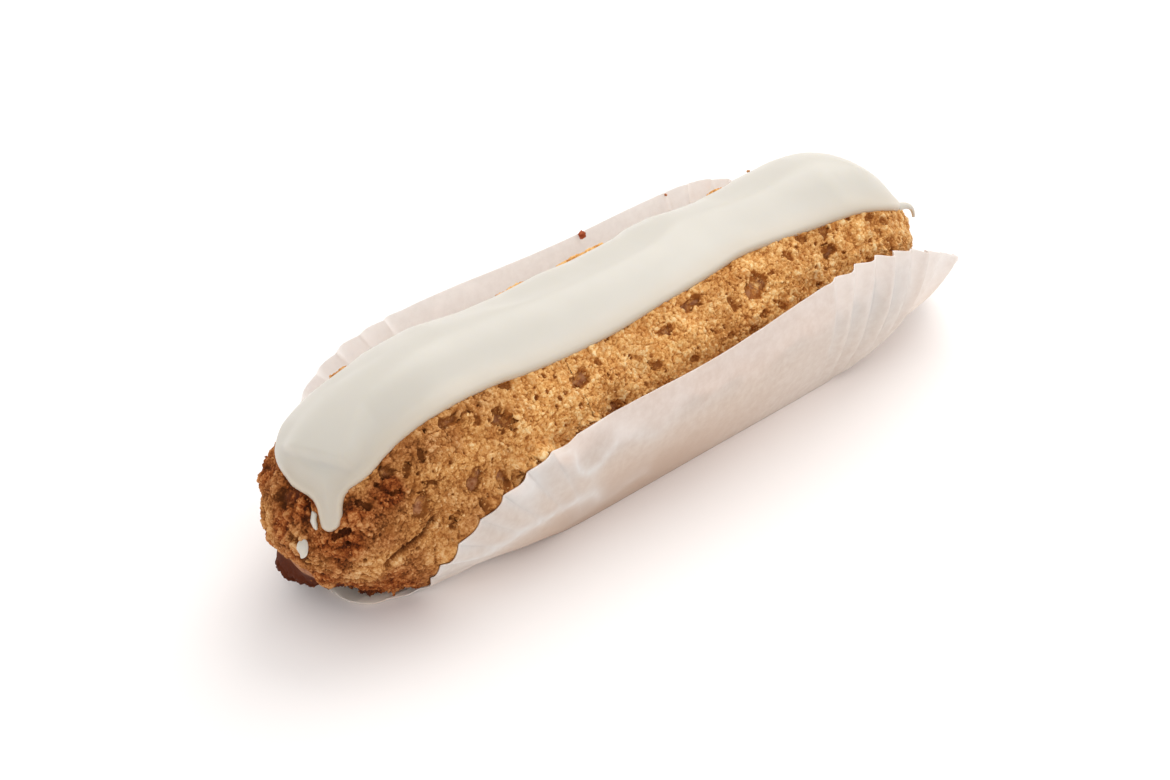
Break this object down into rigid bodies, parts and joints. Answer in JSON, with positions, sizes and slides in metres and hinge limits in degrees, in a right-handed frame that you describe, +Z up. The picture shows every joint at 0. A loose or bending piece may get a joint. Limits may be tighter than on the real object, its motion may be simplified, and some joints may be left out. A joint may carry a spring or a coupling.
{
  "type": "eclair",
  "caption": "Long choux pastry with a crumbly golden crust and a ribbon of white icing that drips over one end, lying in an open paper case with pleated ends.",
  "frame": {"origin": "on the table under the middle of the eclair, on the underside of the paper case's base", "axes": "+X along the eclair from the end with the drip to the far end, +Y towards the side whose paper wall leans out, +Z up"},
  "size_m": [0.1556, 0.0484, 0.0397],
  "materials": {
    "crust": "crumbly baked crust, matte",
    "icing": "smooth set icing, semi-gloss",
    "paper": "thin greaseproof paper, matte"
  },
  "bodies": {
    "root": {"pastry": "crust", "icing": "icing", "paper_case": "paper"}
  },
  "joints": []
}
